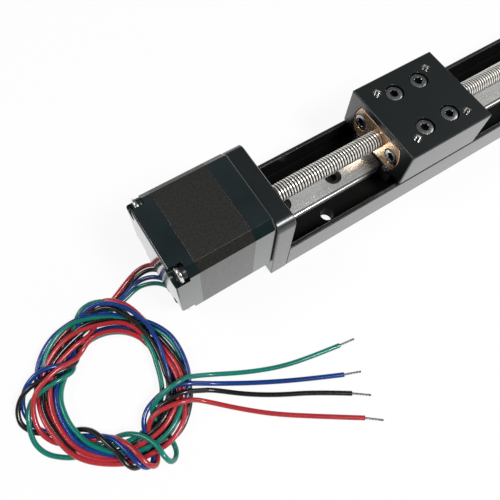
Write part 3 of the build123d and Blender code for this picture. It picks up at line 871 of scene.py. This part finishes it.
# Free stretches are points in millimetres. Turns are angle in degrees, radius and height.
wires = {
    "red": {
        "lead": [
            (-114, 5.4, 4.6), (-115.4, 6.9, 3.3), (-118.6, 7.8, 2), (-122, 7.1, 1.2),
            (-125.4, 5.7, 0.8), (-129.3, 3.8, 0.8),
        ],
        "turns": [
            (72, 19.5, 0.8), (84, 15.5, 0.8), (95, 13.8, 1.6), (105, 13.7, 2.6), (122, 14.2, 3.2),
            (133, 15.2, 3.3), (140, 15.9, 3.2), (152, 16.9, 2.7), (165, 17.7, 3),
            (180, 18.4, 3.2), (202, 19.9, 3.3), (213, 21, 3.3), (224, 21.8, 3.3), (236, 22.5, 3),
            (250, 22.4, 2.6), (263, 21.7, 3), (286, 21.9, 3.4), (297, 21.3, 3.4),
            (306, 20.7, 3.2), (315, 20.3, 3.2), (324, 19.2, 3.2), (336, 17.1, 3.1),
            (347, 15.9, 2.4), (360, 14.6, 2), (380, 13.9, 2.6), (393, 14.4, 3.3), (410, 15, 3.5),
            (427, 14.9, 3.5), (443, 15.3, 3.5), (454, 15.9, 3.5), (471, 17.1, 3.5),
            (482, 17.8, 3.5), (493, 18.4, 3.4), (504, 19.1, 3.2), (515, 19.9, 2.6),
            (528, 20.2, 2.1), (540, 19.9, 2.1), (560, 20.6, 2.1), (573, 22, 2.6), (584, 22.7, 3),
            (596, 23.3, 3.2), (610, 23.9, 2.6), (625, 23.3, 0.9), (645, 24, 0.8), (660, 23, 1.5),
            (671, 22, 2.6), (684, 20.5, 3.4), (693, 19.2, 3.4), (701, 18, 3.3), (709, 16.9, 3),
            (720, 16.6, 2.1), (732, 17, 1.8), (745, 17.5, 2.1), (756, 18.4, 3), (764, 19.6, 3.6),
            (773, 20.9, 3.8), (782, 21.8, 3.8), (789, 22.3, 3.4), (798, 21.9, 2.2),
            (810, 20.5, 0.9), (830, 20.2, 0.8), (855, 20.4, 0.8), (875, 20.9, 1),
            (888, 21.2, 2.4), (900, 21.4, 3.3), (922, 22, 3.4), (933, 23, 3.3), (944, 23.7, 3.2),
            (956, 24.1, 3.2), (971, 24.9, 3), (988, 25.3, 3.2), (1000, 26, 3.3),
            (1009, 25.7, 3.3), (1017, 25, 3.2), (1024, 23.6, 2.6), (1031, 21.9, 1.3),
            (1045, 18.5, 0.8), (1065, 15.2, 0.8), (1080, 13.4, 1), (1095, 12.8, 2),
            (1102, 12.8, 2.7), (1124, 12.6, 3.1), (1147, 12.5, 3.1), (1169, 12.5, 2.9),
            (1180, 12.2, 2.2), (1192, 11.6, 1.8), (1202, 11.4, 2.2), (1208, 11.6, 3),
            (1213, 12.1, 3.8), (1219, 13, 4.7), (1224, 14.5, 5.4), (1230, 15.9, 5.7),
            (1236, 17.6, 5.8), (1241, 19.7, 5.6), (1247, 21.3, 5.1), (1252, 22.4, 4.3),
            (1260, 23.5, 3), (1267, 24.1, 2), (1274, 24, 1.2), (1282, 23.2, 0.8),
            (1289, 21.6, 0.8), (1298, 19.6, 0.8), (1308, 18, 0.9), (1318, 17.2, 2.2),
            (1325.9, 17.63, 4.19), (1332.8, 19, 5.48), (1339.5, 21.58, 6.38),
            (1342.9, 24.81, 6.99), (1345.5, 27.88, 5.98), (1348, 28.76, 3.32),
            (1350.3, 27.27, 1.06), (1352.4, 24.31, 0.78), (1353.1, 21.49, 1.28),
            (1355, 19.2, 2.89), (1360, 18, 4.09), (1367, 17.7, 4.7), (1373, 18.3, 5),
            (1380, 19.8, 5.1), (1384, 21.4, 5), (1388, 23.4, 4.59),
        ],
        "tail": [
            (-123.81, -36.28, 2.58), (-121.3, -38.24, 1.07), (-114.31, -45.01, 0.78),
            (-106.51, -51.81, 0.78), (-95.51, -59.51, 0.78), (-85.2, -66.5, 0.75),
        ],
        "length": 0.540,
    },
    "black": {
        "lead": [
            (-114, 3.2, 4.6), (-115, 4.7, 3.5), (-117.3, 5.9, 2.4), (-120.3, 6, 1.4),
            (-123.6, 5, 0.8), (-128, 2.6, 0.8),
        ],
        "turns": [
            (75, 20.8, 0.8), (100, 19.2, 0.8), (130, 18.2, 0.8), (160, 19, 0.8), (190, 21, 0.8),
            (220, 22.4, 0.8), (250, 23, 0.8), (280, 22.5, 0.8), (310, 20.5, 0.8),
            (335, 18.2, 0.8), (360, 16.8, 0.8), (390, 16, 0.8), (420, 16.3, 1.2), (445, 16, 2),
            (471, 15.7, 2.9), (482, 16.1, 3), (493, 16.9, 3), (500, 17.4, 2.9), (520, 19.5, 2.6),
            (535, 20.4, 3), (560, 21.1, 3.2), (573, 22.2, 3.1), (584, 22.9, 2.6),
            (600, 23.6, 2.4), (625, 24.7, 2.2), (640, 25.5, 2.1), (651, 26, 2.1),
            (662, 25.1, 2.2), (673, 23.9, 2.4), (680, 22.7, 2.8), (687, 21.5, 3.2),
            (696, 20, 3.5), (707, 18.4, 3.5), (720, 17.3, 3.4), (730, 16.8, 3), (740, 16.4, 2.2),
            (760, 16.2, 2.1), (780, 16.4, 2.8), (792, 16.4, 3.2), (806, 16.9, 3),
            (825, 17.6, 2.1), (850, 18.8, 2.1), (870, 19.3, 1.4), (900, 19.9, 0.8),
            (930, 21, 0.8), (960, 21.5, 0.8), (980, 20.9, 1.8), (994, 20.6, 3), (1006, 20.3, 3.3),
            (1015, 19.9, 3.2), (1025, 19, 2.7), (1037, 17.6, 3), (1044, 15.9, 3.4),
            (1056, 14.8, 3.5), (1067, 14.4, 3.5), (1080, 14.2, 3.5), (1094, 14.6, 3.6),
            (1108, 15.3, 3.9), (1119, 16.3, 4.3), (1130, 17.5, 4.6), (1140, 18.8, 4.7),
            (1147, 19.6, 4.5), (1156, 19.8, 3.9), (1165, 19, 2.6), (1175, 17.2, 0.99),
            (1190, 13.99, 0.78), (1202.8, 11.75, 0.99), (1212.5, 11.26, 2.08),
            (1220.1, 12.3, 3.25), (1227, 14.5, 4.13), (1232, 17.3, 4.52), (1237, 21, 4.83),
            (1240.1, 23.11, 4.65), (1244, 25.2, 4), (1250, 26.9, 3.1), (1256, 27.5, 2.2),
            (1260, 27.2, 1.6), (1266, 25.8, 0.9), (1271, 23.6, 0.8), (1278, 21, 0.8),
            (1285, 18.6, 0.9), (1291, 16.9, 1.6), (1300, 16.1, 3), (1308, 16.3, 4.2),
            (1316, 17.55, 5.11), (1322.9, 19.51, 5.54), (1328.8, 21.63, 5.73),
            (1332.6, 24.55, 5.73), (1336, 26.58, 4.39), (1338.9, 26.94, 2.41),
            (1342.2, 25.83, 0.99), (1345.3, 23.58, 0.78), (1350, 20.5, 0.89), (1357, 18, 1.8),
            (1364, 17.2, 3.1), (1371, 17.2, 4), (1378, 17.8, 4.6), (1383, 18.8, 4.9),
            (1390, 20.4, 5.1), (1394, 22.5, 4.9),
        ],
        "tail": [
            (-121.4, -34.9, 2.8), (-118.1, -36.4, 1), (-110.9, -42.4, 0.75),
            (-102.8, -47.8, 0.75), (-93.1, -53, 0.75), (-84.2, -59, 0.75),
        ],
        "length": 0.540,
    },
    "blue": {
        "lead": [
            (-114, -0.2, 4.6), (-115, 1.4, 3.9), (-117, 3, 3.2), (-119.2, 3.8, 2.6),
            (-121.4, 3.9, 2.3), (-124.1, 3.2, 2.2), (-127.3, 1.9, 1.7),
        ],
        "turns": [
            (75, 19.2, 0.8), (100, 17.6, 0.8), (130, 16.6, 0.8), (160, 17.4, 0.8),
            (190, 19.4, 0.8), (220, 20.8, 0.8), (250, 21.4, 0.8), (280, 20.9, 0.8),
            (310, 19, 0.8), (335, 16.6, 0.8), (360, 15.2, 0.8), (390, 14.4, 0.8),
            (420, 14.2, 0.8), (450, 14.3, 0.8), (480, 14.2, 0.8), (500, 14, 0.8),
            (510, 14.6, 1.5), (518, 15.4, 2.6), (530, 16, 3.2), (540, 16.7, 3.3),
            (551, 17.5, 3.3), (562, 18.4, 3.3), (573, 19.8, 3.3), (584, 20.7, 3.3),
            (595, 21.5, 3.3), (606, 22.4, 3), (620, 23.2, 2.2), (640, 23.4, 1.8), (660, 23.5, 2),
            (675, 23, 2.6), (687, 22.3, 3.4), (696, 21.5, 3.5), (707, 20.7, 3.5), (720, 20, 3.4),
            (730, 19.2, 3.3), (740, 18.4, 3.2), (750, 17.7, 3), (765, 17.3, 2.6), (780, 17.5, 3),
            (792, 17.9, 3.3), (804, 18.9, 3.4), (816, 19.8, 3.3), (826, 20.3, 3.3),
            (837, 20.9, 3.4), (848, 21.2, 3.4), (860, 21.3, 3.3), (872, 21.2, 2.8),
            (885, 21.7, 1.6), (900, 21.6, 0.9), (930, 22.4, 0.8), (960, 23, 0.8), (990, 22, 0.8),
            (1020, 18.6, 0.9), (1040, 16.8, 1.8), (1059, 15.5, 3.2), (1067, 15.3, 3.5),
            (1080, 15.7, 3.7), (1091, 16, 4), (1102, 16.9, 4.4), (1111, 17.5, 4.8),
            (1124, 18.7, 5.2), (1136, 19.9, 5.4), (1147, 20.7, 5.3), (1156, 21.1, 5),
            (1164, 20.6, 4.6), (1171, 19.4, 3.6), (1180, 17.5, 2), (1192, 15, 0.9),
            (1205, 12.9, 1.1), (1215, 13.2, 2.6), (1220, 14.8, 4), (1223, 16.7, 4.9),
            (1226, 18.6, 5.3), (1230, 20.7, 5.4), (1236, 22.8, 5), (1241, 24.3, 4),
            (1247, 25.4, 2.8), (1254, 25.8, 1.6), (1262, 25, 0.8), (1271, 23.3, 0.8),
            (1281, 21, 0.8), (1291, 18.9, 0.8), (1301, 17.6, 1.7), (1312, 17.1, 3.2),
            (1320, 17.27, 4.46), (1325.9, 18.01, 5.26), (1331.8, 20.02, 5.92),
            (1337.5, 23.26, 6.31), (1340.9, 26.69, 6.01), (1343.9, 28.12, 3.83),
            (1346.8, 27.47, 1.72), (1349.5, 25.33, 0.78), (1350, 22.51, 0.79), (1351, 19.8, 1.59),
            (1353, 17.8, 2.9), (1358, 15.9, 3.4), (1366, 14.8, 3.5), (1374, 14.8, 3.6),
            (1382, 15.3, 3.8), (1388, 16.3, 4.3), (1393, 17.8, 4.8), (1398, 20.2, 5.2),
        ],
        "tail": [
            (-122.2, -32.3, 4.6), (-119.6, -33.6, 2.6), (-116.4, -35.4, 1), (-108.3, -40.3, 0.75),
            (-100.1, -44.9, 0.75), (-91.5, -49.3, 0.75), (-82.9, -53.4, 0.75),
        ],
        "length": 0.540,
    },
    "green": {
        "lead": [
            (-114, -3, 4.6), (-114.8, -1.3, 3.6), (-116.7, 0.8, 2.5), (-118.9, 2.1, 1.6),
            (-121.2, 2.8, 1), (-123.8, 2.5, 0.8), (-126.6, 1.5, 0.8),
        ],
        "turns": [
            (75, 17.6, 0.8), (100, 16, 0.8), (130, 15.2, 0.8), (160, 15.8, 0.8), (190, 17.6, 0.8),
            (220, 19, 0.8), (250, 19.7, 0.8), (280, 19.2, 0.8), (310, 17.4, 0.8),
            (335, 14.9, 0.8), (360, 13.6, 0.8), (390, 12.9, 0.8), (420, 12.7, 0.8),
            (450, 12.7, 0.8), (480, 12.7, 0.8), (500, 12.9, 1), (515, 13.6, 2.2), (528, 14.6, 3),
            (540, 15.5, 3.3), (551, 16.1, 3.4), (562, 17.1, 3.4), (573, 18, 3.4),
            (584, 19.4, 3.4), (596, 20.5, 3.4), (607, 21.8, 3.2), (627, 23.4, 3.2),
            (640, 23.8, 3.3), (651, 23.6, 3.3), (660, 22.8, 3), (670, 21.8, 2.2), (685, 21, 2),
            (696, 20.6, 2.6), (707, 20, 3), (720, 19, 3), (730, 18.3, 2.6), (745, 17, 2.1),
            (765, 16.4, 2.3), (782, 16.7, 3), (798, 17.5, 3.5), (809, 18.4, 3.7),
            (820, 19.5, 3.8), (831, 19.9, 3.8), (842, 20, 3.7), (853, 19.9, 3.6),
            (863, 19.6, 3.2), (875, 19.4, 2.4), (890, 18.8, 1.2), (920, 19.2, 0.8),
            (960, 19.8, 0.8), (990, 18.8, 0.8), (1015, 17, 1.8), (1029, 15.7, 2.8),
            (1039, 14.6, 3.3), (1050, 13.6, 3.3), (1061, 13, 3.3), (1080, 13, 3.3),
            (1091, 13.2, 3.2), (1100, 13.7, 2.8), (1110, 14.6, 2.5), (1125, 17.2, 2.6),
            (1138, 20.2, 2.8), (1146, 21.6, 3.2), (1152, 22.2, 3.6), (1160, 22.3, 3.8),
            (1167, 21.7, 3.7), (1172, 20.7, 3.3), (1178, 19.4, 2.3), (1188, 17, 0.89),
            (1200, 14.2, 0.78), (1213.8, 11.96, 0.78), (1223.7, 11.37, 1.78),
            (1230.5, 12.39, 3.17), (1236.2, 14.31, 4.18), (1239.1, 16.01, 4.44), (1243, 19, 4.33),
            (1247, 22.11, 3.94), (1251.1, 23.62, 3.28), (1256, 24.7, 2.7), (1260, 25.4, 2.3),
            (1267, 26.5, 1.8), (1274, 27.1, 1.3), (1282, 26.7, 0.9), (1290, 25.3, 0.8),
            (1298, 23.9, 0.8), (1308, 21.3, 0.8), (1318, 18.8, 1), (1326, 17.6, 2.1),
            (1332, 17.4, 3.4), (1339.9, 17.86, 4.76), (1347.7, 19.52, 5.65),
            (1352.4, 21.95, 6.16), (1354.8, 24.92, 6.56), (1354.8, 28.14, 6.63),
            (1355.4, 30.13, 4.61), (1357.8, 30.24, 2.21), (1361.2, 28.59, 0.78),
            (1363.2, 25.09, 0.78), (1364, 21.5, 0.79), (1364, 18.5, 1.6), (1366, 16.6, 2.9),
            (1371, 15.71, 3.92), (1379.9, 15.9, 4.95), (1387.9, 16.91, 5.8),
            (1395.8, 18.62, 6.43), (1400.9, 20.63, 6.21),
        ],
        "tail": [
            (-122.73, -30.05, 5.17), (-119.86, -30.93, 2.91), (-116.09, -32.49, 0.97),
            (-107.11, -37.41, 0.78), (-97.31, -41.61, 0.78), (-87.51, -44.01, 0.78),
            (-78.8, -45.6, 0.75),
        ],
        "length": 0.540,
    },
}


def turnPoints(stations, centre, step):
    points = []
    for (a0, r0, z0), (a1, r1, z1) in zip(stations, stations[1:] + stations[-1:]):
        count = max(1, round((a1 - a0) / step))
        for i in range(count):
            share = i / count
            angle = radians(a0 + (a1 - a0) * share)
            radius = r0 + (r1 - r0) * share
            points.append((
                centre[0] + radius * cos(angle), centre[1] + radius * sin(angle),
                z0 + (z1 - z0) * share))
    return points


def makeWire(colour, wire, s):
    route = wire["lead"] + turnPoints(wire["turns"], s["coilCentre"], s["step"]) + wire["tail"]
    curve = bpy.data.curves.new("wire_" + colour, "CURVE")
    curve.dimensions = "3D"
    curve.resolution_u = s["resolution"]
    spline = curve.splines.new("NURBS")
    spline.points.add(len(route) - 1)
    for point, (x, y, z) in zip(spline.points, route):
        point.co = (x * mm, y * mm, z * mm, 1)
    spline.order_u = 3
    spline.use_endpoint_u = True
    curve.bevel_depth = s["diameter"] / 2 * mm
    curve.bevel_resolution = s["roundness"]
    curve.use_fill_caps = True
    piece = bpy.data.objects.new("wire_" + colour, curve)
    bpy.context.collection.objects.link(piece)
    piece.data.materials.append(materials["wire_" + colour])
    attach(piece, "base")
    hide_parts("lead_" + colour, "wire_coil", "tail_" + colour)


# Stripped ends of three twisted strands
tipSettings = {
    "strand": 0.17, "offset": 0.16, "sides": 10, "turns": 2, "steps": 16, "strands": 3,
    "smooth": 40,
    "ends": {
        "red": (-81.0, -69.9, 0.75), "black": (-79.7, -62.4, 0.60),
        "blue": (-78.1, -55.4, 0.85), "green": (-73.9, -46.4, 0.90),
    },
}


def makeTip(colour, sheathEnd, s):
    start, end = Vector(sheathEnd) * mm, Vector(s["ends"][colour]) * mm
    bpy.ops.mesh.primitive_circle_add(
        vertices=s["sides"], radius=s["strand"] * mm, fill_type="NGON",
        location=(s["offset"] * mm, 0, 0))
    strand = bpy.context.object
    applyPlace(strand)
    sweepTurns(strand, "Z", (end - start).length / s["turns"], s["turns"], s["steps"])
    closeEnds(s["sides"])
    apart = 2 * pi / s["strands"]
    tip = placeCopies("tip_strands_" + colour, strand, [(0, 0, 0)] * s["strands"], 0, apart)
    turn = (end - start).to_track_quat("Z", "Y").to_matrix().to_4x4()
    tip.matrix_world = Matrix.Translation(start) @ turn
    applyPlace(tip)
    smoothByAngle(tip, s["smooth"])
    stand(tip, "tip_" + colour)


for colour, wire in wires.items():
    makeTip(colour, wire["tail"][-1], tipSettings)
    makeWire(colour, wire, wireSettings)
print("wires laid")
